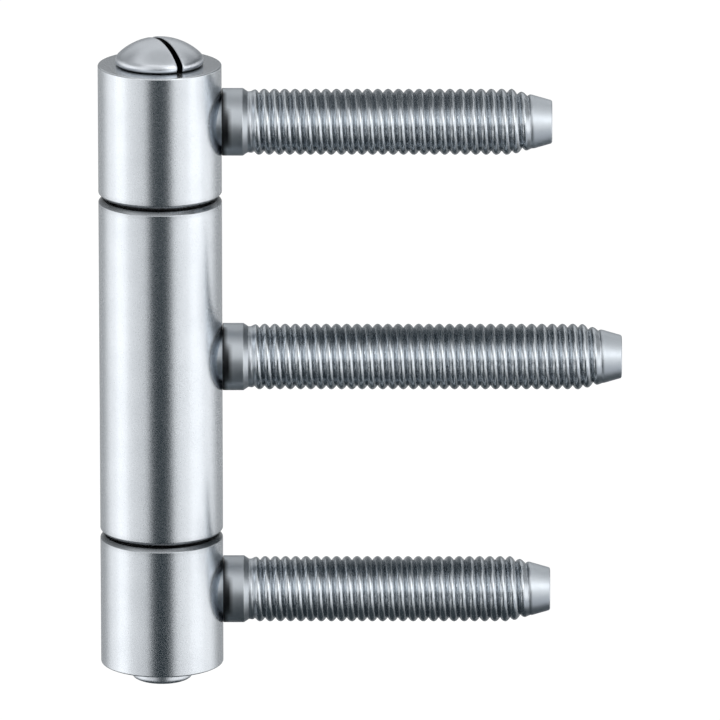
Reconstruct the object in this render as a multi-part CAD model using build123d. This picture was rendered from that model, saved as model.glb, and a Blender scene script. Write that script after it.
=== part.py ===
from build123d import *
import os

# A three-part drill-in door hinge, in millimetres, +Z up.
# The origin is on the swing axis at the height of the leaf stud, and all studs point along +X.

# Barrel: two frame knuckles with the leaf knuckle between them
BARREL_DIAMETER = 15.0
LEAF_KNUCKLE_HEIGHT = 42.0
LEAF_STUD_BELOW_TOP = 20.0
FRAME_KNUCKLE_HEIGHT = 16.3
FRAME_STUD_BELOW_TOP = 7.15
KNUCKLE_GAP = 0.3
GROOVE_CHAMFER = 0.45
END_CHAMFER = 0.15

# Hinge pin: slotted domed head, short thread in the upper knuckle, plain shank, domed foot
PIN_DIAMETER = 7.4
PIN_THREAD_RISE = 0.8
PIN_THREAD_LENGTH = 5.4
PIN_THREAD_RUNOUT = 0.3
PIN_THREAD_GAP = 0.02
HEAD_OVERHANG = 0.85
HEAD_RIM_HEIGHT = 0.95
HEAD_RIM_ROUND = 0.42
HEAD_DOME_HEIGHT = 2.35
SLOT_WIDTH = 0.8
SLOT_FLOOR = 0.25
SLOT_TURN_DEGREES = 29.0
FOOT_REACH = 1.9
FOOT_DOME_HEIGHT = 0.65

# Fits along the swing axis
RUNNING_GAP = 0.05
SLIDING_GAP = 0.03
PRESS_GAP = 0.01

# Flanged bearing bushes, pressed into both ends of the leaf knuckle
BUSH_WALL = 1.0
BUSH_LENGTH = 12.0
FLANGE_RISE = 1.35
FLANGE_THICKNESS = 1.0
FLANGE_PROUD = 0.25

# Threaded studs, drawn at the outside diameter of their thread
THREAD_DIAMETER = 8.0
FRAME_STUD_REACH = 40.0
LEAF_STUD_REACH = 48.6
TENON_DIAMETER = 6.0
CROSS_BORE_WALL = 0.5
COLLAR_STANDOFF = 0.02
COLLAR_RISE = 0.1
COLLAR_LENGTH = 2.53
COLLAR_TAPER_LENGTH = 0.6
NECK_DEPTH = 0.3
NECK_LENGTH = 0.6
POINT_LENGTH = 4.9
POINT_DIAMETER = 5.2

# Levels along the swing axis
LEAF_TOP = LEAF_STUD_BELOW_TOP
LEAF_FOOT = LEAF_TOP - LEAF_KNUCKLE_HEIGHT
UPPER_FOOT = LEAF_TOP + KNUCKLE_GAP
UPPER_TOP = UPPER_FOOT + FRAME_KNUCKLE_HEIGHT
LOWER_TOP = LEAF_FOOT - KNUCKLE_GAP
LOWER_FOOT = LOWER_TOP - FRAME_KNUCKLE_HEIGHT
UPPER_STUD_LEVEL = UPPER_TOP - FRAME_STUD_BELOW_TOP
LOWER_STUD_LEVEL = LOWER_TOP - FRAME_STUD_BELOW_TOP
PIN_THREAD_END = UPPER_TOP - PIN_THREAD_LENGTH

# Radii that the fits share
BARREL_RADIUS = BARREL_DIAMETER / 2
PIN_RADIUS = PIN_DIAMETER / 2
PIN_THREAD_RADIUS = PIN_RADIUS + PIN_THREAD_RISE
TAPPED_RADIUS = PIN_THREAD_RADIUS + PIN_THREAD_GAP
FRAME_BORE_RADIUS = PIN_RADIUS + SLIDING_GAP
BUSH_BORE_RADIUS = PIN_RADIUS + RUNNING_GAP
BUSH_RADIUS = BUSH_BORE_RADIUS + BUSH_WALL
LEAF_BORE_RADIUS = BUSH_RADIUS + PRESS_GAP
FLANGE_RADIUS = BUSH_RADIUS + FLANGE_RISE
CROSS_BORE_FLOOR = LEAF_BORE_RADIUS + CROSS_BORE_WALL
TENON_RADIUS = TENON_DIAMETER / 2


def turned(outline):
    """A solid turned about the swing axis from a closed (radius, height) outline."""
    return revolve(make_face(Plane.XZ * outline), Axis.Z)


def tube(radius, bore_radius, foot, top, foot_chamfer, top_chamfer):
    """A plain tube with its two outer edges chamfered."""
    return turned(
        Polyline(
            (bore_radius, foot),
            (radius - foot_chamfer, foot),
            (radius, foot + foot_chamfer),
            (radius, top - top_chamfer),
            (radius - top_chamfer, top),
            (bore_radius, top),
            close=True,
        )
    )


def widened(radius, bottom, top):
    """A round core that widens a bore between two levels."""
    return Pos(0, 0, bottom) * Cylinder(
        radius, top - bottom, align=(Align.CENTER, Align.CENTER, Align.MIN)
    )


def cross_bore(level):
    """The blind hole in a knuckle's wall that takes a stud's tenon."""
    return Location((CROSS_BORE_FLOOR, 0, level), (0, 90, 0)) * Cylinder(
        TENON_RADIUS + PRESS_GAP,
        BARREL_RADIUS,
        align=(Align.CENTER, Align.CENTER, Align.MIN),
    )


def upper_frame_knuckle():
    """The top knuckle, tapped below its upper face for the pin's thread."""
    thread_end = PIN_THREAD_END - PIN_THREAD_RUNOUT
    knuckle = tube(BARREL_RADIUS, FRAME_BORE_RADIUS, UPPER_FOOT, UPPER_TOP, GROOVE_CHAMFER, END_CHAMFER)
    knuckle -= widened(TAPPED_RADIUS, thread_end, UPPER_TOP)
    return knuckle - cross_bore(UPPER_STUD_LEVEL)


def leaf_knuckle():
    """The long middle knuckle, bored through for the bushes, with a seat for a flange in each end."""
    seat_depth = FLANGE_THICKNESS - FLANGE_PROUD
    seat_radius = FLANGE_RADIUS + PRESS_GAP
    knuckle = tube(BARREL_RADIUS, LEAF_BORE_RADIUS, LEAF_FOOT, LEAF_TOP, GROOVE_CHAMFER, GROOVE_CHAMFER)
    knuckle -= widened(seat_radius, LEAF_TOP - seat_depth, LEAF_TOP)
    knuckle -= widened(seat_radius, LEAF_FOOT, LEAF_FOOT + seat_depth)
    return knuckle - cross_bore(0)


def lower_frame_knuckle():
    """The bottom knuckle, whose bore guides the pin's shank."""
    knuckle = tube(BARREL_RADIUS, FRAME_BORE_RADIUS, LOWER_FOOT, LOWER_TOP, END_CHAMFER, GROOVE_CHAMFER)
    return knuckle - cross_bore(LOWER_STUD_LEVEL)


def stud(reach, level):
    """A turned and thread-rolled stud: tenon, collar, rolling neck, thread and conical point."""
    thread_radius = THREAD_DIAMETER / 2
    collar_radius = thread_radius + COLLAR_RISE
    neck_radius = thread_radius - NECK_DEPTH
    collar_start = BARREL_RADIUS + COLLAR_STANDOFF
    collar_end = collar_start + COLLAR_LENGTH
    neck_start = collar_end + COLLAR_TAPER_LENGTH
    neck_end = neck_start + NECK_LENGTH
    tip = BARREL_RADIUS + reach
    outline = Polyline(
        (CROSS_BORE_FLOOR, 0),
        (CROSS_BORE_FLOOR, TENON_RADIUS),
        (collar_start, TENON_RADIUS),
        (collar_start, collar_radius),
        (collar_end, collar_radius),
        (neck_start, neck_radius),
        (neck_end, neck_radius),
        (neck_end + NECK_DEPTH, thread_radius),
        (tip - POINT_LENGTH, thread_radius),
        (tip, POINT_DIAMETER / 2),
        (tip, 0),
        close=True,
    )
    return Pos(0, 0, level) * revolve(make_face(outline), Axis.X)


def hinge_pin():
    """The loose pin: its head rests on the upper knuckle and its foot stands out below the lower one."""
    head_radius = PIN_THREAD_RADIUS + HEAD_OVERHANG
    rim_top = UPPER_TOP + HEAD_RIM_HEIGHT
    head_top = rim_top + HEAD_DOME_HEIGHT
    foot_edge = LOWER_FOOT - FOOT_REACH
    foot_end = foot_edge - FOOT_DOME_HEIGHT
    side = Polyline(
        (PIN_RADIUS, foot_edge),
        (PIN_RADIUS, PIN_THREAD_END),
        (PIN_THREAD_RADIUS, PIN_THREAD_END + PIN_THREAD_RISE),
        (PIN_THREAD_RADIUS, UPPER_TOP),
        (head_radius, UPPER_TOP),
        (head_radius, rim_top),
    )
    dome = dome_arc(head_radius, rim_top, head_top)
    foot = dome_arc(PIN_RADIUS, foot_edge, foot_end)
    core = Line((0, head_top), (0, foot_end))
    section = make_face(side + dome + foot + core)
    rim = section.vertices().sort_by_distance((head_radius, rim_top, 0))[0]
    section = Plane.XZ * fillet(rim, HEAD_RIM_ROUND)
    return revolve(section, Axis.Z) - head_slot(head_top, head_radius)


def dome_arc(radius, edge, crown):
    """The arc of a shallow dome, from its edge to its crown on the swing axis."""
    height = crown - edge
    ball = (radius**2 + height**2) / (2 * abs(height))
    middle_radius = radius / 2
    drop = ball - (ball**2 - middle_radius**2) ** 0.5
    middle = crown - drop if height > 0 else crown + drop
    return ThreePointArc((radius, edge), (middle_radius, middle), (0, crown))


def head_slot(head_top, head_radius):
    """The screwdriver slot, cut right across the head and turned from the front towards the studs."""
    floor = UPPER_TOP + SLOT_FLOOR
    return Location((0, 0, floor), (0, 0, SLOT_TURN_DEGREES)) * Box(
        SLOT_WIDTH,
        2 * head_radius + SLOT_WIDTH,
        head_top - floor + SLOT_WIDTH,
        align=(Align.CENTER, Align.CENTER, Align.MIN),
    )


def bush(face, outward):
    """A flanged plastic bush; face is the leaf knuckle's end and outward is +1 up or -1 down."""
    flange_face = face + outward * FLANGE_PROUD
    flange_back = flange_face - outward * FLANGE_THICKNESS
    inner_end = flange_back - outward * BUSH_LENGTH
    return turned(
        Polyline(
            (BUSH_BORE_RADIUS, flange_face),
            (FLANGE_RADIUS, flange_face),
            (FLANGE_RADIUS, flange_back),
            (BUSH_RADIUS, flange_back),
            (BUSH_RADIUS, inner_end),
            (BUSH_BORE_RADIUS, inner_end),
            close=True,
        )
    )


NODES = {
    "upper_frame_knuckle": upper_frame_knuckle(),
    "upper_frame_stud": stud(FRAME_STUD_REACH, UPPER_STUD_LEVEL),
    "leaf_knuckle": leaf_knuckle(),
    "leaf_stud": stud(LEAF_STUD_REACH, 0),
    "lower_frame_knuckle": lower_frame_knuckle(),
    "lower_frame_stud": stud(FRAME_STUD_REACH, LOWER_STUD_LEVEL),
    "hinge_pin": hinge_pin(),
    "upper_bush": bush(LEAF_TOP, 1),
    "lower_bush": bush(LEAF_FOOT, -1),
}

os.makedirs("parts", exist_ok=True)
for name, solid in NODES.items():
    export_step(solid, f"parts/{name}.step")
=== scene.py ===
import math

import bmesh
import bpy
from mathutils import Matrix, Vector


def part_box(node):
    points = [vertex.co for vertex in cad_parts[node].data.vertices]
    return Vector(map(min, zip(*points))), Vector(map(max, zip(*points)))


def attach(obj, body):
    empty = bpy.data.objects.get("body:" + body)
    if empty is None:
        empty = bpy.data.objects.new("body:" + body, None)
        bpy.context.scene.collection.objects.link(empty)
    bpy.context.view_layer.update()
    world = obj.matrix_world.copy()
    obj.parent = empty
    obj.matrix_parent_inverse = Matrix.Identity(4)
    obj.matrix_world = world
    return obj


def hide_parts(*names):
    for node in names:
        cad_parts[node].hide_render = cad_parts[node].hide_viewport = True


# A three-part drill-in hinge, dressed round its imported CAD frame.
# Lengths are in metres: the swing axis is +Z and the studs point along +X.

MM = 0.001
TURN = 2 * math.pi

# Camera: the photo's frame and viewing angle
PHOTO_PIXELS = 720
FOCAL_PIXELS = 11498
SENSOR_MM = 36.0
CAMERA_DISTANCE = 1.4
CAMERA_ELEVATION = math.radians(15.2)
CAMERA_AIM = Vector((24.24 * MM, 0, -0.44 * MM))
CLIP_START = 0.05
CLIP_END = 50.0

# Fits between the pieces
RUNNING_GAP = 0.05 * MM
SLIDING_GAP = 0.03 * MM
PRESS_GAP = 0.01 * MM
PIN_THREAD_GAP = 0.02 * MM
COLLAR_STANDOFF = 0.02 * MM

# Hinge pin: slotted domed head, short thread, shank and domed foot
PIN_RADIUS = 3.7 * MM
PIN_THREAD_RADIUS = 4.5 * MM
PIN_THREAD_LENGTH = 5.4 * MM
PIN_THREAD_DEPTH = 0.4 * MM
PIN_THREAD_PITCH = 0.75 * MM
HEAD_OVERHANG = 0.85 * MM
HEAD_RADIUS = PIN_THREAD_RADIUS + HEAD_OVERHANG
HEAD_RIM_HEIGHT = 0.95 * MM
HEAD_RIM_ROUND = 0.95 * MM
HEAD_UNDER_ROUND = 0.5 * MM
HEAD_UNDER_TURN = math.radians(65)
HEAD_DOME_HEIGHT = 2.35 * MM
SLOT_HALF_WIDTH = 0.36 * MM
SLOT_EDGE_ROUND = 0.14 * MM
SLOT_TURN = math.radians(29)
FOOT_DOME_HEIGHT = 0.65 * MM
FOOT_ROUND = 0.5 * MM
HALF_HEAD_COLUMNS = 48
DOME_ROWS = 20
ROWS_TO_RIM = 3

# Knuckles: bores for the pin and the bushes, seats for the bushes' flanges, and edges
BARREL_RADIUS = 7.5 * MM
FRAME_BORE_RADIUS = PIN_RADIUS + SLIDING_GAP
TAPPED_RADIUS = PIN_THREAD_RADIUS + PIN_THREAD_GAP
TAPPED_RUN_OUT = 0.3 * MM
TAPPED_DEPTH = PIN_THREAD_LENGTH + TAPPED_RUN_OUT
BUSH_WALL = 1.0 * MM
LEAF_BORE_RADIUS = PIN_RADIUS + RUNNING_GAP + BUSH_WALL + PRESS_GAP
FLANGE_RISE = 1.35 * MM
SEAT_RADIUS = LEAF_BORE_RADIUS + FLANGE_RISE
SEAT_DEPTH = 0.75 * MM
END_ROUND = 0.18 * MM
CUT_SIZE = 0.45 * MM
CUT_ROUND = 0.15 * MM
BARREL_COLUMNS = 160

# Studs and their bodies: tenon in its cross bore, collar, neck, rolled M8 x 1.25 thread and conical point
STUDS = {"upper_frame_stud": "upper_frame", "leaf_stud": "leaf", "lower_frame_stud": "lower_frame"}
TENON_RADIUS = 3.0 * MM
CROSS_BORE_RADIUS = TENON_RADIUS + PRESS_GAP
CROSS_BORE_WALL = 0.5 * MM
CROSS_BORE_FLOOR = LEAF_BORE_RADIUS + CROSS_BORE_WALL
CREST_RADIUS = 4.0 * MM
PITCH = 1.25 * MM
THREAD_DEPTH = 0.5 * MM
THREAD_RUN_IN = 1.2 * MM
THREAD_RUN_OUT = 1.6 * MM
FRONT_CREST = 13.0 * MM
FRONT_TURN = 0.5
COLLAR_RISE = 0.1 * MM
COLLAR_LENGTH = 2.53 * MM
COLLAR_TAPER_LENGTH = 0.6 * MM
COLLAR_START = BARREL_RADIUS + COLLAR_STANDOFF
COLLAR_END = COLLAR_START + COLLAR_LENGTH
COLLAR_RADIUS = CREST_RADIUS + COLLAR_RISE
COLLAR_ROUND = 0.1 * MM
NECK_DEPTH = 0.3 * MM
NECK_START = COLLAR_END + COLLAR_TAPER_LENGTH
NECK_RADIUS = CREST_RADIUS - NECK_DEPTH
NECK_ROUND = 0.15 * MM
POINT_LENGTH = 4.9 * MM
POINT_RADIUS = 2.6 * MM
PLAIN_POINT = 2.0 * MM
TIP_ROUND = 0.12 * MM
ROWS_PER_TURN = 20
STUD_COLUMNS = 72

# A shallow dome has three quarters of its height at half its radius
HALFWAY_DOME_SHARE = 0.75

# Meshes: steps, supporting rows beside edges, and merging
ARC_STEPS = 6
LONGEST_ROW = 0.6 * MM
EDGE_SUPPORT = 0.04 * MM
SHORTEST_SUPPORTED_RUN = 4 * EDGE_SUPPORT
SHARP_ANGLE = math.radians(32)
MERGE_DISTANCE = 0.5e-6

# Painted shade: how dark each place is painted, from 0 to 1, and how far it reaches; grooves, end faces,
# thread roots, the crevice behind each collar, the slot and the rim's contact get painted shade, and the
# even thread and collar values are a darker tone
GROOVE_PAINTED_SHADE = 0.75
GROOVE_REACH = 0.75 * MM
END_FACE_PAINTED_SHADE = 0.12
THREAD_GRIME = 0.04
THREAD_ROOT_PAINTED_SHADE = 0.2
CONTACT_HEIGHT = 0.42 * MM
COLLAR_GRIME = 0.12
CREVICE_PAINTED_SHADE = 0.1
CREVICE_MARGIN = 0.1 * MM
CREVICE_FADE = 0.5
SHADE_AND_TONE_COLOUR = (0.035, 0.037, 0.04)

# Noise in the materials: scales in features per metre, and the values that most of it lies between
EVEN = (1, 1, 1)
CLOUD_SCALE = 260.0
CLOUD_DETAIL = 3.0
GRAIN_DETAIL = 2.0
NOISE_LOW = 0.3
NOISE_HIGH = 0.7

# Studio and floor: the fill is the studio's light on dull surfaces, where 1 is what the camera sees
WHITE = (1, 1, 1, 1)
STUDIO_FILL = 0.9
FLOOR_LEVEL = -1.0
FLOOR_HALF_SIZE = 12.0
FLOOR_COLOUR = (0.8, 0.8, 0.8, 1)
FLOOR_ROUGHNESS = 0.9
FLOOR_GLOW = 0.32

# Dark cards bent round the hinge, in degrees: azimuth 0 is towards the camera, 90 towards the studs
# (name, azimuth, half width, lowest, highest, cover, soft side, soft end)
FLAGS = (
    ("front_core", -1, 29, -50, 7, 1.0, 15, 5),
    ("front_apron", -14, 74, -50, 2, 0.31, 60, 6),
    ("front_high_flag", -12, 32, 2, 50, 0.4, 20, 12),
    ("left_flag", -95, 55, 8, 60, 0.65, 20, 14),
    ("right_flag", 100, 50, 10, 60, 0.7, 20, 12),
    ("top_flag", 0, 180, 55, 90, 0.55, 0, 14),
    ("bottom_flag", 0, 180, -90, -12, 0.975, 0, 44),
    ("back_low_flag", 180, 80, -45, 4, 0.62, 35, 8),
    ("back_middle_flag", 180, 75, -4, 28, 0.75, 35, 8),
    ("back_high_flag", 180, 80, 22, 62, 0.4, 35, 8),
)
FLAG_DISTANCE = 0.95
FLAG_STEP = math.radians(3)
POLE = 90

# Flat cards near each stud: above it, upright in front of its collar, and below its tip
CARD_STEPS = 24
BLACK_CARD = (0.01, 0.02, 0.026)
GREY_CARD = (0.5, 0.52, 0.55)
STUD_CARD_RISE = 14 * MM
STUD_CARD_START = 11 * MM
STUD_CARD_BEFORE_TIP = 4.5 * MM
STUD_CARD_MIDDLE = 6 * MM
STUD_CARD_HALF_WIDTH = 22 * MM
STUD_CARD_SOFT_END = 4 * MM
STUD_CARD_SOFT_SIDE = 10 * MM
STUD_CARD_COVER = 0.78
FLANK_CARD_X = 9 * MM
FLANK_CARD_NEAR = 4.3 * MM
FLANK_CARD_FAR = 75 * MM
FLANK_CARD_TOP = -0.5 * MM
FLANK_CARD_FOOT = -14 * MM
FLANK_CARD_SOFT_FAR = 15 * MM
FLANK_CARD_SOFT_TOP = 2.5 * MM
FLANK_CARD_COVER = 0.6
TIP_CARD_DROP = 7 * MM
TIP_CARD_BEFORE_TIP = 1.5 * MM
TIP_CARD_LENGTH = 13 * MM
TIP_CARD_NEAR = 3 * MM
TIP_CARD_FAR = 22 * MM
TIP_CARD_SOFT_EDGE = 2.5 * MM

# Soft lamps, with angles like the cards'; brightness 1 is as bright as the studio
# (name, azimuth, elevation, width, height, brightness)
LAMPS = (
    ("key_lamp", 34, 23, 0.45, 0.36, 1.0),
    ("left_lamp", -78, -8, 0.4, 0.6, 0.26),
    ("right_lamp", 70, 0, 0.45, 0.7, 0.26),
)
LAMP_DISTANCE = 0.9

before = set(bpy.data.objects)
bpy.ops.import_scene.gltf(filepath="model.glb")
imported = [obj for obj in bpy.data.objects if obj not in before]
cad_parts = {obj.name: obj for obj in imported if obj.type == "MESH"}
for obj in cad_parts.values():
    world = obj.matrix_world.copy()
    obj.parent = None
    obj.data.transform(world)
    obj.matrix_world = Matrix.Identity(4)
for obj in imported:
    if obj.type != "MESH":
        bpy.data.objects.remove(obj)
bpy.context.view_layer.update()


# Outlines and meshes

def smooth_step(share):
    """A share from 0 to 1 that starts and ends gently."""
    share = min(max(share, 0), 1)
    return share * share * (3 - 2 * share)


def rounded(corners):
    """The points of an outline, from corners given as (u, v, round)."""
    points = []
    for i, (u, v, fillet) in enumerate(corners):
        here = Vector((u, v))
        if fillet == 0:
            points.append(here)
            continue
        to_before = (Vector(corners[i - 1][:2]) - here).normalized()
        to_after = (Vector(corners[(i + 1) % len(corners)][:2]) - here).normalized()
        half_angle = to_before.angle(to_after) / 2
        centre = here + (to_before + to_after).normalized() * fillet / math.sin(half_angle)
        reach = fillet / math.tan(half_angle)
        first = (here + to_before * reach - centre).normalized()
        last = (here + to_after * reach - centre).normalized()
        arc = [first.slerp(last, step / ARC_STEPS) for step in range(ARC_STEPS + 1)]
        points += [centre + direction * fillet for direction in arc]
    return points


def supported(points):
    """An outline with more points on its long runs: beside both ends, to keep it flat, and between."""
    result = []
    for start, end in zip(points, points[1:]):
        run = end - start
        result.append(start)
        if run.length < SHORTEST_SUPPORTED_RUN:
            continue
        steps = math.ceil(run.length / LONGEST_ROW)
        places = [EDGE_SUPPORT / run.length]
        places += [step / steps for step in range(1, steps)]
        places.append(1 - EDGE_SUPPORT / run.length)
        result += [start + run * place for place in places]
    return result + [points[-1]]


def even_angles(columns):
    """Evenly spaced angles round a full turn."""
    return [TURN * column / columns for column in range(columns)]


def about_swing_axis(along, radius, angle):
    """A point at a height and radius about the swing axis."""
    return Vector((radius * math.cos(angle), radius * math.sin(angle), along))


def about_stud(level):
    """Places points about the axis of the stud at that level."""
    return lambda along, radius, angle: Vector(
        (along, radius * math.cos(angle), level + radius * math.sin(angle))
    )


def skin(mesh, rows, angles, place):
    """Rings of points about an axis, joined by quads; a row is (along, radius or radius function)."""
    rings = []
    for along, radius in rows:
        ring = []
        for angle in angles:
            reach = radius(along, angle) if callable(radius) else radius
            ring.append(mesh.verts.new(place(along, reach, angle)))
        rings.append(ring)
    for ring, following in zip(rings, rings[1:]):
        for i in range(len(ring)):
            mesh.faces.new((ring[i - 1], ring[i], following[i], following[i - 1]))
    return rings


def join_lines(mesh, lines):
    """Joins open lines of points to their neighbours by quads."""
    for line, following in zip(lines, lines[1:]):
        for i in range(len(line) - 1):
            mesh.faces.new((line[i], line[i + 1], following[i + 1], following[i]))


def dome_rows(radius, edge, height, start, end, count):
    """Rows (along, radius) of a shallow dome over that edge, between two radii."""
    ball = (radius**2 + height**2) / (2 * abs(height))
    rise = math.copysign(1, height)
    rows = []
    for step in range(count + 1):
        reach = start + (end - start) * step / count
        drop = ball - math.sqrt(ball**2 - reach**2)
        rows.append((edge + height - rise * drop, reach))
    return rows


def add_object(name, data):
    """A new object of the scene."""
    added = bpy.data.objects.new(name, data)
    bpy.context.collection.objects.link(added)
    return added


def add_mesh(name, mesh):
    """A new object from a mesh, with its doubled points merged and its faces turned outward."""
    bmesh.ops.remove_doubles(mesh, verts=mesh.verts, dist=MERGE_DISTANCE)
    bmesh.ops.recalc_face_normals(mesh, faces=mesh.faces)
    data = bpy.data.meshes.new(name)
    mesh.to_mesh(data)
    mesh.free()
    return add_object(name, data)


def piece(mesh, name, node, body, material, marks):
    """The visible piece that stands for a CAD node; marks give a value to each point of its mesh."""
    shape = add_mesh(name, mesh)
    data = shape.data
    data.shade_smooth()
    data.set_sharp_from_angle(angle=SHARP_ANGLE)
    for mark_name, share_at in marks.items():
        shares = [share_at(vertex.co) for vertex in data.vertices]
        data.attributes.new(mark_name, "FLOAT", "POINT").data.foreach_set("value", shares)
    data.materials.append(material)
    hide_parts(node)
    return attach(shape, body)


# Knuckles

def stud_level(node):
    """The height of a stud's axis."""
    low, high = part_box(node)
    return (low.z + high.z) / 2


def cut_cross_bore(mesh, level):
    """Cuts the stud's blind hole into a knuckle's mesh and returns the mesh with the hole."""
    cutter = bmesh.new()
    outside = 2 * COLLAR_END
    rows = [(CROSS_BORE_FLOOR, CROSS_BORE_RADIUS), (outside, CROSS_BORE_RADIUS)]
    ends = skin(cutter, rows, even_angles(STUD_COLUMNS), about_stud(level))
    for ring in ends:
        cutter.faces.new(ring)
    bored = add_mesh("bored", mesh)
    tool = add_mesh("cutter", cutter)
    boolean = bored.modifiers.new("cross_bore", "BOOLEAN")
    boolean.operation = "DIFFERENCE"
    boolean.solver = "EXACT"
    boolean.object = tool
    graph = bpy.context.evaluated_depsgraph_get()
    result = bmesh.new()
    result.from_object(bored, graph)
    for shape in (bored, tool):
        data = shape.data
        bpy.data.objects.remove(shape)
        bpy.data.meshes.remove(data)
    return result


def knuckle(node, body, stud_node, corners, grooves, end_faces, material):
    """A turned knuckle with a bore for its stud; grooves and end_faces are the levels of its ends."""
    outline = rounded(corners)
    rows = [(point.y, point.x) for point in supported(outline + outline[:1])]
    mesh = bmesh.new()
    skin(mesh, rows, even_angles(BARREL_COLUMNS), about_swing_axis)
    mesh = cut_cross_bore(mesh, stud_level(stud_node))

    # Painted shade: darker towards the grooves between knuckles, and an even painted shade on the end
    # faces
    def painted_shade_and_tone(point):
        if any(abs(point.z - level) < MERGE_DISTANCE for level in end_faces):
            return END_FACE_PAINTED_SHADE
        nearest = min(abs(point.z - level) for level in grooves)
        return GROOVE_PAINTED_SHADE * smooth_step(1 - nearest / GROOVE_REACH)

    return piece(mesh, node + "_body", node, body, material, {"painted_shade_and_tone": painted_shade_and_tone})


def upper_frame_knuckle(material):
    """The top knuckle: a cut lower edge, and a bore widened for the pin's thread."""
    low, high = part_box("upper_frame_knuckle")
    radius = high.y
    tapped_end = high.z - TAPPED_DEPTH
    corners = [
        (FRAME_BORE_RADIUS, low.z, 0),
        (radius - CUT_SIZE, low.z, CUT_ROUND),
        (radius, low.z + CUT_SIZE, CUT_ROUND),
        (radius, high.z, END_ROUND),
        (TAPPED_RADIUS, high.z, 0),
        (TAPPED_RADIUS, tapped_end, 0),
        (FRAME_BORE_RADIUS, tapped_end, 0),
    ]
    return knuckle(
        "upper_frame_knuckle",
        body="upper_frame",
        stud_node="upper_frame_stud",
        corners=corners,
        grooves=[low.z],
        end_faces=[high.z],
        material=material,
    )


def leaf_knuckle(material):
    """The middle knuckle: cut edges, and a seat for a bush at each end."""
    low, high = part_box("leaf_knuckle")
    radius = high.y
    corners = [
        (LEAF_BORE_RADIUS, low.z + SEAT_DEPTH, 0),
        (SEAT_RADIUS, low.z + SEAT_DEPTH, 0),
        (SEAT_RADIUS, low.z, 0),
        (radius - CUT_SIZE, low.z, CUT_ROUND),
        (radius, low.z + CUT_SIZE, CUT_ROUND),
        (radius, high.z - CUT_SIZE, CUT_ROUND),
        (radius - CUT_SIZE, high.z, CUT_ROUND),
        (SEAT_RADIUS, high.z, 0),
        (SEAT_RADIUS, high.z - SEAT_DEPTH, 0),
        (LEAF_BORE_RADIUS, high.z - SEAT_DEPTH, 0),
    ]
    return knuckle(
        "leaf_knuckle",
        body="leaf",
        stud_node="leaf_stud",
        corners=corners,
        grooves=[low.z, high.z],
        end_faces=[],
        material=material,
    )


def lower_frame_knuckle(material):
    """The bottom knuckle: a cut upper edge and a plain bore."""
    low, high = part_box("lower_frame_knuckle")
    radius = high.y
    corners = [
        (FRAME_BORE_RADIUS, low.z, 0),
        (radius, low.z, END_ROUND),
        (radius, high.z - CUT_SIZE, CUT_ROUND),
        (radius - CUT_SIZE, high.z, CUT_ROUND),
        (FRAME_BORE_RADIUS, high.z, 0),
    ]
    return knuckle(
        "lower_frame_knuckle",
        body="lower_frame",
        stud_node="lower_frame_stud",
        corners=corners,
        grooves=[high.z],
        end_faces=[low.z],
        material=material,
    )


# Studs

def thread_flank(turns):
    """The height of a rolled thread, 1 on its round crest and 0 in its root, at a place in turns."""
    return 1 - (2 * (turns - round(turns))) ** 2


def point_radius(from_tip):
    """The radius of the cone on a stud's end, at a distance from its tip."""
    return POINT_RADIUS + from_tip * (CREST_RADIUS - POINT_RADIUS) / POINT_LENGTH


def thread_start_share(along):
    """How far the thread has grown out of the neck there."""
    return smooth_step((along - NECK_START) / THREAD_RUN_IN)


def thread_share(along, tip):
    """How far the thread is formed there: it grows from the neck and runs out on the stud's point."""
    return thread_start_share(along) * smooth_step((tip - PLAIN_POINT - along) / THREAD_RUN_OUT)


def stud_thread(tip):
    """The radius of a stud's thread at each place, from its neck to its point."""

    def radius(along, angle):
        turns = (along - FRONT_CREST) / PITCH - (angle / TURN - FRONT_TURN)
        crest = min(CREST_RADIUS, point_radius(tip - along))
        crest -= (CREST_RADIUS - NECK_RADIUS) * (1 - thread_start_share(along))
        return crest - THREAD_DEPTH * thread_share(along, tip) * (1 - thread_flank(turns))

    return radius


def stud_rows(tip):
    """Rows of a stud, from the end of its tenon to its tip."""
    outline = rounded(
        [
            (CROSS_BORE_FLOOR, TENON_RADIUS, 0),
            (COLLAR_START, TENON_RADIUS, 0),
            (COLLAR_START, COLLAR_RADIUS, COLLAR_ROUND),
            (COLLAR_END, COLLAR_RADIUS, NECK_ROUND),
            (NECK_START, NECK_RADIUS, 0),
        ]
    )
    rows = [(point.x, point.y) for point in supported(outline)]
    thread_length = tip - TIP_ROUND - NECK_START
    steps = math.ceil(thread_length / PITCH * ROWS_PER_TURN)
    radius = stud_thread(tip)
    rows += [(NECK_START + thread_length * step / steps, radius) for step in range(1, steps + 1)]
    return rows + [(tip, POINT_RADIUS - TIP_ROUND)]


def collar_painted_shade_and_tone(point):
    """Painted shade on a collar, darkest beside the gap behind it, which widens to the front and back,
    over an even darker tone.
    """
    behind = COLLAR_START - math.sqrt(max(BARREL_RADIUS**2 - point.y**2, 0))
    reach = CREVICE_MARGIN + behind
    crevice = smooth_step((COLLAR_START + reach - point.x) / (CREVICE_FADE * reach))
    return max(crevice, COLLAR_GRIME)


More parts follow.
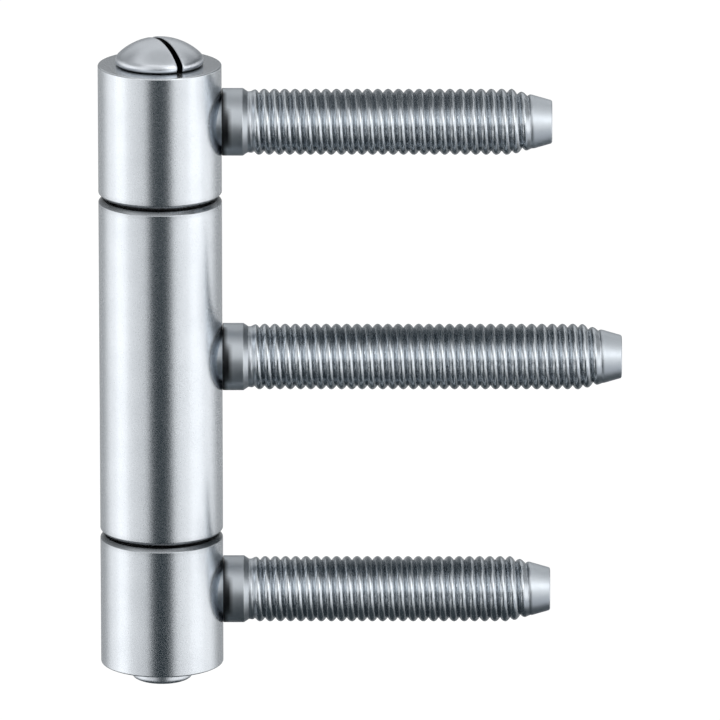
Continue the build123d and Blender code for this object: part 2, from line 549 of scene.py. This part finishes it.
def stud(node, body, material):
    """A threaded stud: tenon, collar, neck, rolled thread and conical point."""
    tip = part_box(node)[1].x
    level = stud_level(node)
    mesh = bmesh.new()
    rings = skin(mesh, stud_rows(tip), even_angles(STUD_COLUMNS), about_stud(level))
    mesh.faces.new(rings[0])
    mesh.faces.new(rings[-1])

    def rolled(point):
        return thread_share(point.x, tip)

    # Painted shade in the thread's roots, over a faint even darker tone on the rolled thread
    def thread_painted_shade_and_tone(point):
        crest = min(CREST_RADIUS, point_radius(tip - point.x))
        depth = crest - math.hypot(point.y, point.z - level)
        return rolled(point) * (THREAD_GRIME + THREAD_ROOT_PAINTED_SHADE * smooth_step(depth / THREAD_DEPTH))

    # Painted shade on the tenon and the collar's end, in the crevice at the barrel
    def painted_shade_and_tone(point):
        if point.x < COLLAR_START + MERGE_DISTANCE:
            return CREVICE_PAINTED_SHADE
        if point.x < NECK_START:
            return collar_painted_shade_and_tone(point)
        return thread_painted_shade_and_tone(point)

    marks = {"painted_shade_and_tone": painted_shade_and_tone, "rolled": rolled}
    return piece(mesh, node + "_thread", node, body, material, marks)


# Hinge pin

def head_rows(under, inner_radius):
    """Rows of the pin's head, from near its crown over the round rim to the level of the slot's floor."""
    rim_top = under + HEAD_RIM_HEIGHT
    dome = dome_rows(HEAD_RADIUS, rim_top, HEAD_DOME_HEIGHT, inner_radius, HEAD_RADIUS, DOME_ROWS)
    before_height, before_radius = dome[-ROWS_TO_RIM]
    corner = rounded(
        [
            (before_radius, before_height, 0),
            (HEAD_RADIUS, rim_top, HEAD_RIM_ROUND),
            (HEAD_RADIUS, under, 0),
        ]
    )
    rim = [(point.y, point.x) for point in corner[1:-1]]
    dome = [row for row in dome if row[1] < rim[0][1] - EDGE_SUPPORT]
    under_edge = []
    for step in range(ARC_STEPS + 1):
        turn = HEAD_UNDER_TURN * step / ARC_STEPS
        height = under + HEAD_UNDER_ROUND * (1 - math.sin(turn))
        under_edge.append((height, HEAD_RADIUS - HEAD_UNDER_ROUND * (1 - math.cos(turn))))
    return dome + rim + under_edge


def slot_edge(rows, inner, add_point):
    """Lines of points on the slot's rounded edge, from one end of the slot over the crown to the other."""
    profile = []
    for height, radius in reversed(rows):
        half_chord = math.sqrt(max(radius**2 - inner**2, 0))
        profile.append(Vector((-half_chord, height)))
    profile += [Vector((-place.x, place.y)) for place in reversed(profile[:-1])]
    last = len(profile) - 1
    lines = []
    for step in range(1, ARC_STEPS + 1):
        angle = math.pi / 2 * step / ARC_STEPS
        inset = SLOT_EDGE_ROUND * (1 - math.cos(angle))
        across = inner - SLOT_EDGE_ROUND * math.sin(angle)
        line = []
        for i, here in enumerate(profile):
            run = profile[min(i + 1, last)] - profile[max(i - 1, 0)]
            inward = Vector((run.y, -run.x)).normalized()
            moved = here + inward * inset
            if i in (0, last):
                moved.y = here.y
            line.append(add_point(across, moved.x, moved.y))
        lines.append(line)
    return lines


def half_head(mesh, rows, inner, side):
    """One half of the slotted head; returns the two ends of its cut side and its lowest row."""
    along_slot = Vector((math.sin(SLOT_TURN), -math.cos(SLOT_TURN), 0)) * side
    across_slot = Vector((math.cos(SLOT_TURN), math.sin(SLOT_TURN), 0)) * side

    def add_point(across, along, height):
        return mesh.verts.new(across_slot * across + along_slot * along + Vector((0, 0, height)))

    columns = [2 * column / HALF_HEAD_COLUMNS - 1 for column in range(HALF_HEAD_COLUMNS + 1)]
    grid = []
    for height, radius in rows:
        widest = math.acos(min(inner / radius, 1))
        angles = [widest * column for column in columns]
        places = [(radius * math.cos(angle), radius * math.sin(angle)) for angle in angles]
        grid.append([add_point(across, along, height) for across, along in places])
    join_lines(mesh, grid)

    edge = [row[0] for row in reversed(grid)] + [row[-1] for row in grid[1:]]
    lines = [edge] + slot_edge(rows, inner, add_point)
    join_lines(mesh, lines)
    mesh.faces.new(lines[-1])
    ends = [[line[0] for line in lines], [line[-1] for line in lines]]
    return ends, grid[-1]


def pin_thread(top):
    """The radius of the pin's short thread under its head."""

    def radius(along, angle):
        turns = (along - top) / PIN_THREAD_PITCH - angle / TURN
        fade = smooth_step((along - top + PIN_THREAD_LENGTH) / PIN_THREAD_PITCH)
        fade *= smooth_step((top - along) / PIN_THREAD_PITCH)
        return PIN_THREAD_RADIUS - PIN_THREAD_DEPTH * (1 - fade * thread_flank(turns))

    return radius


def pin_rows(head_end, under, foot_edge):
    """Rows of the pin from its head's last row down: underside, thread, shank and foot."""
    head_height, head_radius = head_end
    root_radius = PIN_THREAD_RADIUS - PIN_THREAD_DEPTH
    underside = [
        Vector((head_radius, head_height)),
        Vector((HEAD_RADIUS - HEAD_UNDER_ROUND, under)),
        Vector((root_radius, under)),
    ]
    rows = [(point.y, point.x) for point in supported(underside)]
    steps = math.ceil(PIN_THREAD_LENGTH / PIN_THREAD_PITCH * ROWS_PER_TURN)
    radius = pin_thread(under)
    rows += [(under - PIN_THREAD_LENGTH * step / steps, radius) for step in range(1, steps)]
    thread_end = under - PIN_THREAD_LENGTH
    shank = rounded(
        [
            (root_radius, thread_end, 0),
            (PIN_RADIUS, thread_end - PIN_THREAD_DEPTH, 0),
            (PIN_RADIUS, foot_edge, FOOT_ROUND),
            (PIN_RADIUS / 2, foot_edge - FOOT_DOME_HEIGHT * HALFWAY_DOME_SHARE, 0),
        ]
    )
    rows += [(point.y, point.x) for point in supported(shank[:-1])]
    crown_radius = PIN_RADIUS / DOME_ROWS
    foot = dome_rows(PIN_RADIUS, foot_edge, -FOOT_DOME_HEIGHT, PIN_RADIUS, crown_radius, DOME_ROWS)
    return rows + [row for row in foot if row[1] < rows[-1][1] - EDGE_SUPPORT]


def hinge_pin(material):
    """The loose pin with its slotted head, threaded neck, shank and foot."""
    foot_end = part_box("hinge_pin")[0].z
    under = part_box("upper_frame_knuckle")[1].z
    inner = SLOT_HALF_WIDTH + SLOT_EDGE_ROUND
    head = head_rows(under, inner)
    mesh = bmesh.new()
    first_ends, first_row = half_head(mesh, head, inner, 1)
    second_ends, second_row = half_head(mesh, head, inner, -1)
    slot_floor = first_ends[1][::-1] + second_ends[0] + second_ends[1][::-1] + first_ends[0]
    mesh.faces.new(slot_floor)
    angles = [math.atan2(vertex.co.y, vertex.co.x) for vertex in first_row + second_row]
    rows = pin_rows(head[-1], under, foot_end + FOOT_DOME_HEIGHT)
    rings = skin(mesh, rows, angles, about_swing_axis)
    mesh.faces.new(rings[-1])

    # Painted shade: the slot painted fully dark, and a painted contact shadow under the head's rim
    def painted_shade_and_tone(point):
        if point.z <= under:
            return 0
        across = abs(point.x * math.cos(SLOT_TURN) + point.y * math.sin(SLOT_TURN))
        if across < SLOT_HALF_WIDTH + MERGE_DISTANCE:
            return 1
        if math.hypot(point.x, point.y) > HEAD_RADIUS - HEAD_UNDER_ROUND:
            return smooth_step((under + CONTACT_HEIGHT - point.z) / CONTACT_HEIGHT)
        return 0

    return piece(mesh, "hinge_pin_body", "hinge_pin", "pin", material, {"painted_shade_and_tone": painted_shade_and_tone})


# Materials

def new_material(name):
    """A node material, with its nodes and links."""
    material = bpy.data.materials.new(name)
    material.use_nodes = True
    return material, material.node_tree.nodes, material.node_tree.links


def noise(nodes, links, scale, stretch, detail):
    """A noise texture over the piece, stretched along the axes."""
    place = nodes.new("ShaderNodeTexCoord")
    mapping = nodes.new("ShaderNodeMapping")
    mapping.inputs["Scale"].default_value = stretch
    texture = nodes.new("ShaderNodeTexNoise")
    texture.inputs["Scale"].default_value = scale
    texture.inputs["Detail"].default_value = detail
    links.new(place.outputs["Object"], mapping.inputs["Vector"])
    links.new(mapping.outputs["Vector"], texture.inputs["Vector"])
    return texture.outputs["Fac"]


def spread(nodes, links, source, low, high):
    """Maps a noise to the range from low to high."""
    span = nodes.new("ShaderNodeMapRange")
    span.inputs["From Min"].default_value = NOISE_LOW
    span.inputs["From Max"].default_value = NOISE_HIGH
    span.inputs["To Min"].default_value = low
    span.inputs["To Max"].default_value = high
    links.new(source, span.inputs["Value"])
    return span.outputs["Result"]


def blend(nodes, links, share, first, second):
    """A colour between two colours."""
    mix = nodes.new("ShaderNodeMix")
    mix.data_type = "RGBA"
    mix.inputs["A"].default_value = (*first, 1)
    mix.inputs["B"].default_value = (*second, 1)
    links.new(share, mix.inputs["Factor"])
    return mix.outputs["Result"]


def mark(nodes, name):
    """The value that each point of a mesh has under that name, or 0 where it has none."""
    attribute = nodes.new("ShaderNodeAttribute")
    attribute.attribute_name = name
    return attribute.outputs["Fac"]


def metal(name, dark, light, roughness, grain, depth, stretch=EVEN, rolled_roughness=None):
    """A plated metal with a fine grain of that depth, darkened by its painted shade and tone mark and
    smoother where it is rolled.
    """
    material, nodes, links = new_material(name)
    shader = nodes["Principled BSDF"]
    shader.inputs["Metallic"].default_value = 1.0
    cloud = noise(nodes, links, CLOUD_SCALE, EVEN, CLOUD_DETAIL)
    fine = noise(nodes, links, grain, stretch, GRAIN_DETAIL)
    clean = blend(nodes, links, spread(nodes, links, cloud, 0, 1), dark, light)
    shaded = blend(nodes, links, mark(nodes, "painted_shade_and_tone"), light, SHADE_AND_TONE_COLOUR)
    links.new(clean, shaded.node.inputs["A"])
    links.new(shaded, shader.inputs["Base Color"])
    gloss = nodes.new("ShaderNodeMix")
    links.new(mark(nodes, "rolled"), gloss.inputs["Factor"])
    links.new(spread(nodes, links, fine, *roughness), gloss.inputs["A"])
    links.new(spread(nodes, links, fine, *(rolled_roughness or roughness)), gloss.inputs["B"])
    links.new(gloss.outputs["Result"], shader.inputs["Roughness"])
    bump = nodes.new("ShaderNodeBump")
    bump.inputs["Distance"].default_value = depth
    links.new(fine, bump.inputs["Height"])
    links.new(bump.outputs["Normal"], shader.inputs["Normal"])
    return material


def plastic(name, dark, light, roughness, grain):
    """A dull bearing plastic."""
    material, nodes, links = new_material(name)
    shader = nodes["Principled BSDF"]
    fine = noise(nodes, links, grain, EVEN, GRAIN_DETAIL)
    links.new(blend(nodes, links, fine, dark, light), shader.inputs["Base Color"])
    links.new(spread(nodes, links, fine, *roughness), shader.inputs["Roughness"])
    return material


def card_material(name, colour):
    """A card of that brightness, seen only from its back, with a cover that fades out to its edges."""
    material, nodes, links = new_material(name)
    material.cycles.emission_sampling = "NONE"
    nodes.remove(nodes["Principled BSDF"])
    clear = nodes.new("ShaderNodeBsdfTransparent")
    surface = nodes.new("ShaderNodeEmission")
    surface.inputs["Color"].default_value = (*colour, 1)
    inside = nodes.new("ShaderNodeMath")
    inside.operation = "MULTIPLY"
    links.new(mark(nodes, "cover"), inside.inputs[0])
    links.new(nodes.new("ShaderNodeNewGeometry").outputs["Backfacing"], inside.inputs[1])
    mix = nodes.new("ShaderNodeMixShader")
    links.new(inside.outputs["Value"], mix.inputs["Fac"])
    links.new(clear.outputs["BSDF"], mix.inputs[1])
    links.new(surface.outputs["Emission"], mix.inputs[2])
    links.new(mix.outputs["Shader"], nodes["Material Output"].inputs["Surface"])
    return material


# Stage

def background_share(nodes, links):
    """1 for rays that see the background: from the camera, or reflected or passed on by the object."""
    path = nodes.new("ShaderNodeLightPath")
    seen = path.outputs["Is Camera Ray"]
    for kind in ("Is Glossy Ray", "Is Transmission Ray"):
        either = nodes.new("ShaderNodeMath")
        either.operation = "MAXIMUM"
        links.new(seen, either.inputs[0])
        links.new(path.outputs[kind], either.inputs[1])
        seen = either.outputs["Value"]
    return seen


def make_world():
    """A white studio all round."""
    world = bpy.data.worlds.new("studio")
    world.use_nodes = True
    nodes, links = world.node_tree.nodes, world.node_tree.links
    background = nodes["Background"]
    background.inputs["Color"].default_value = WHITE
    strength = nodes.new("ShaderNodeMapRange")
    strength.inputs["To Min"].default_value = STUDIO_FILL
    strength.inputs["To Max"].default_value = 1.0
    links.new(background_share(nodes, links), strength.inputs["Value"])
    links.new(strength.outputs["Result"], background.inputs["Strength"])
    bpy.context.scene.world = world


def make_floor():
    """A pale floor well below the hinge, which is held in the air by its studs."""
    data = bpy.data.meshes.new("floor")
    size = FLOOR_HALF_SIZE
    corners = [(-size, -size), (size, -size), (size, size), (-size, size)]
    data.from_pydata([(x, y, FLOOR_LEVEL) for x, y in corners], [], [(0, 1, 2, 3)])
    floor = add_object("floor", data)
    material, nodes, links = new_material("floor")
    shader = nodes["Principled BSDF"]
    shader.inputs["Base Color"].default_value = FLOOR_COLOUR
    shader.inputs["Roughness"].default_value = FLOOR_ROUGHNESS
    shader.inputs["Specular IOR Level"].default_value = 0.0
    shader.inputs["Emission Color"].default_value = WHITE
    glow = nodes.new("ShaderNodeMath")
    glow.operation = "MULTIPLY"
    glow.inputs[1].default_value = FLOOR_GLOW
    links.new(background_share(nodes, links), glow.inputs[0])
    links.new(glow.outputs["Value"], shader.inputs["Emission Strength"])
    data.materials.append(material)


def outward(azimuth, elevation):
    """The direction from the hinge at those angles, in degrees."""
    turn = math.radians(azimuth)
    rise = math.radians(elevation)
    return Vector((math.sin(turn) * math.cos(rise), -math.cos(turn) * math.cos(rise), math.sin(rise)))


def make_card(name, rows, columns, place, material):
    """A card for reflections only; place gives the point and cover at a share of its rows and columns."""
    places = []
    for row in range(rows + 1):
        places += [place(row / rows, column / columns) for column in range(columns + 1)]
    faces = []
    for row in range(rows):
        for column in range(columns):
            first = row * (columns + 1) + column
            faces.append((first, first + 1, first + columns + 2, first + columns + 1))
    data = bpy.data.meshes.new(name)
    data.from_pydata([point for point, share in places], [], faces)
    data.shade_smooth()
    shares = [share for point, share in places]
    data.attributes.new("cover", "FLOAT", "POINT").data.foreach_set("value", shares)
    data.materials.append(material)
    card = add_object(name, data)
    card.visible_camera = False
    card.visible_diffuse = False
    card.visible_shadow = False


def make_flag(name, azimuth, half_width, lowest, highest, cover, soft_side, soft_end, material):
    """A card bent round the hinge, soft at its sides and at the ends that aren't at a pole."""
    rows = math.ceil(math.radians(highest - lowest) / FLAG_STEP)
    columns = math.ceil(math.radians(2 * half_width) / FLAG_STEP)

    def place(up, across):
        height = lowest + (highest - lowest) * up
        aside = half_width * (2 * across - 1)
        share = cover
        if soft_side:
            share *= smooth_step((half_width - abs(aside)) / soft_side)
        if lowest > -POLE:
            share *= smooth_step((height - lowest) / soft_end)
        if highest < POLE:
            share *= smooth_step((highest - height) / soft_end)
        return CAMERA_AIM + outward(azimuth + aside, height) * FLAG_DISTANCE, share

    make_card(name, rows, columns, place, material)


def make_stud_card(node, material):
    """A flat card above a stud, which darkens the upper side of its thread."""
    level = stud_level(node) + STUD_CARD_RISE
    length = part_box(node)[1].x - STUD_CARD_BEFORE_TIP - STUD_CARD_START

    def place(across, along):
        aside = STUD_CARD_HALF_WIDTH * (2 * across - 1)
        reach = length * along
        share = STUD_CARD_COVER
        share *= smooth_step((STUD_CARD_HALF_WIDTH - abs(aside)) / STUD_CARD_SOFT_SIDE)
        share *= smooth_step(min(reach, length - reach) / STUD_CARD_SOFT_END)
        return Vector((STUD_CARD_START + reach, STUD_CARD_MIDDLE + aside, level)), share

    make_card(node + "_card", CARD_STEPS, CARD_STEPS, place, material)


def make_flank_card(node, material):
    """An upright card in front of a collar, which darkens the thread's flanks that face the barrel."""
    top = stud_level(node) + FLANK_CARD_TOP
    foot = stud_level(node) + FLANK_CARD_FOOT

    def place(nearer, up):
        y = -FLANK_CARD_FAR + (FLANK_CARD_FAR - FLANK_CARD_NEAR) * nearer
        z = foot + (top - foot) * up
        share = FLANK_CARD_COVER
        share *= smooth_step((y + FLANK_CARD_FAR) / FLANK_CARD_SOFT_FAR)
        share *= smooth_step((top - z) / FLANK_CARD_SOFT_TOP)
        return Vector((FLANK_CARD_X, y, z)), share

    make_card(node + "_flank_card", CARD_STEPS, CARD_STEPS, place, material)


def make_tip_card(node, material):
    """A flat card in front of a stud's tip and below it, which lightens the underside of its point."""
    level = stud_level(node) - TIP_CARD_DROP
    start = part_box(node)[1].x - TIP_CARD_BEFORE_TIP
    width = TIP_CARD_FAR - TIP_CARD_NEAR

    def place(along, nearer):
        x = TIP_CARD_LENGTH * along
        y = width * nearer
        share = smooth_step(min(x, TIP_CARD_LENGTH - x, y, width - y) / TIP_CARD_SOFT_EDGE)
        return Vector((start + x, y - TIP_CARD_FAR, level)), share

    make_card(node + "_tip_card", CARD_STEPS, CARD_STEPS, place, material)


def make_lamp(name, azimuth, elevation, width, height, brightness):
    """A soft box that faces the hinge."""
    data = bpy.data.lights.new(name, "AREA")
    data.shape = "RECTANGLE"
    data.size = width
    data.size_y = height
    data.energy = brightness * math.pi * width * height
    lamp = add_object(name, data)
    direction = outward(azimuth, elevation)
    lamp.location = CAMERA_AIM + direction * LAMP_DISTANCE
    lamp.rotation_euler = (-direction).to_track_quat("-Z", "Y").to_euler()
    lamp.visible_camera = False


def make_camera():
    """The camera at the photo's viewing angle."""
    data = bpy.data.cameras.new("camera")
    data.sensor_width = SENSOR_MM
    data.lens = FOCAL_PIXELS / PHOTO_PIXELS * SENSOR_MM
    data.clip_start = CLIP_START
    data.clip_end = CLIP_END
    camera = add_object("camera", data)
    back = Vector((0, -math.cos(CAMERA_ELEVATION), math.sin(CAMERA_ELEVATION)))
    camera.location = CAMERA_AIM + back * CAMERA_DISTANCE
    camera.rotation_euler = (math.pi / 2 - CAMERA_ELEVATION, 0, 0)
    bpy.context.scene.camera = camera


# The hinge in its materials

satin = metal(
    "satin_plating",
    dark=(0.775, 0.815, 0.86),
    light=(0.825, 0.865, 0.91),
    roughness=(0.24, 0.28),
    grain=7000.0,
    depth=0.25e-6,
)
turned = metal(
    "turned_plating",
    dark=(0.79, 0.83, 0.88),
    light=(0.86, 0.90, 0.95),
    roughness=(0.3, 0.4),
    grain=3500.0,
    depth=0.6e-6,
)
zinc = metal(
    "zinc_plating",
    dark=(0.68, 0.73, 0.78),
    light=(0.77, 0.82, 0.87),
    roughness=(0.38, 0.46),
    grain=2000.0,
    depth=0.2e-6,
    stretch=(6, 0.6, 0.6),
    rolled_roughness=(0.2, 0.28),
)
bearing = plastic(
    "bearing_plastic",
    dark=(0.02, 0.02, 0.022),
    light=(0.04, 0.04, 0.045),
    roughness=(0.45, 0.6),
    grain=3000.0,
)

upper_frame_knuckle(satin)
leaf_knuckle(satin)
lower_frame_knuckle(satin)
for node, body in STUDS.items():
    stud(node, body, zinc)
hinge_pin(turned)
for bush in ("upper_bush", "lower_bush"):
    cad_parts[bush].data.materials.clear()
    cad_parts[bush].data.materials.append(bearing)

# The studio round it

make_world()
make_floor()
black_card = card_material("black_card", BLACK_CARD)
grey_card = card_material("grey_card", GREY_CARD)
for flag in FLAGS:
    make_flag(*flag, black_card)
for node in STUDS:
    make_stud_card(node, black_card)
    make_flank_card(node, black_card)
    make_tip_card(node, grey_card)
for lamp in LAMPS:
    make_lamp(*lamp)
make_camera()
bpy.context.scene.view_settings.view_transform = "Standard"
